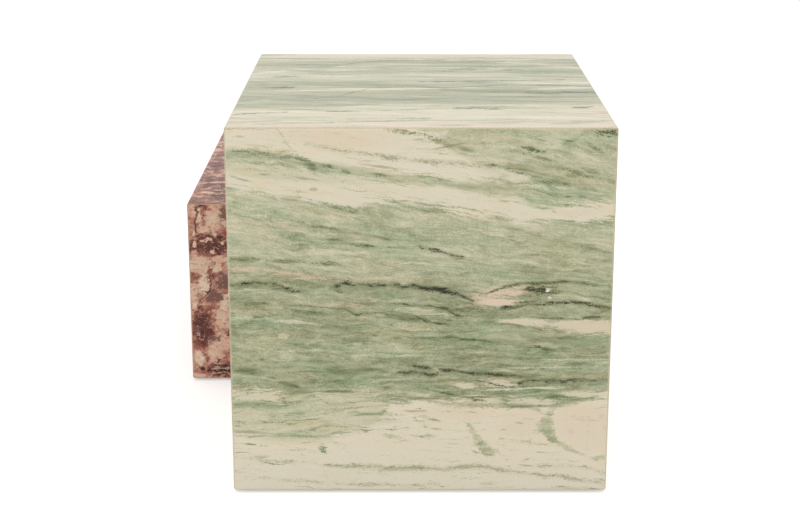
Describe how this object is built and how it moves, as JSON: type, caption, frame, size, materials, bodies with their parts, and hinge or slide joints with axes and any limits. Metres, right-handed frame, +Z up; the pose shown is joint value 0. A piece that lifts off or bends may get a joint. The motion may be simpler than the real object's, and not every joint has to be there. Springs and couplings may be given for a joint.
{
  "type": "side table",
  "caption": "Side table of interlocking marble blocks, a tall green and cream one in front of a lower red one that wraps round its back left corner.",
  "frame": {"origin": "on the floor, at the centre of the rectangle that encloses both blocks in plan", "axes": "+Z up, +Y from the tall block's front face towards the back of the low block, +X to the right as seen from the front"},
  "size_m": [0.51, 0.87, 0.42],
  "materials": {
    "green_marble": "honed, with green clouds, cream bands and dark veins that run across",
    "red_marble": "polished, brecciated in red brown, mauve and cream",
    "birch_plywood": "sanded, unfinished",
    "pine": "planed, unfinished",
    "zinc_steel": "bright zinc plated",
    "black_nylon": "matt moulded",
    "grey_felt": "pressed wool felt"
  },
  "bodies": {
    "root": {"tall_top_slab": "green_marble", "tall_front_slab": "green_marble", "tall_right_slab": "green_marble", "tall_back_slab": "green_marble", "tall_left_slab": "green_marble", "low_top_slab": "red_marble", "low_front_slab": "red_marble", "low_right_slab": "red_marble", "low_back_slab": "red_marble", "low_left_slab": "red_marble", "tall_core_top": "birch_plywood", "tall_core_front": "birch_plywood", "tall_core_right": "birch_plywood", "tall_core_back": "birch_plywood", "tall_core_left": "birch_plywood", "tall_base_board": "birch_plywood", "tall_rib": "birch_plywood", "low_core_top": "birch_plywood", "low_core_front": "birch_plywood", "low_core_right": "birch_plywood", "low_core_back": "birch_plywood", "low_core_left": "birch_plywood", "low_notch_side": "birch_plywood", "low_notch_back": "birch_plywood", "low_base_board": "birch_plywood", "low_rib": "birch_plywood", "tall_battens": "pine", "low_battens": "pine", "low_arm_block": "pine", "joining_bolts": "zinc_steel", "joining_washers": "zinc_steel", "joining_nuts": "zinc_steel", "side_screws": "zinc_steel", "base_screws": "zinc_steel", "glide_screws": "zinc_steel", "glides": "black_nylon", "felt_pads": "grey_felt"}
  },
  "joints": []
}
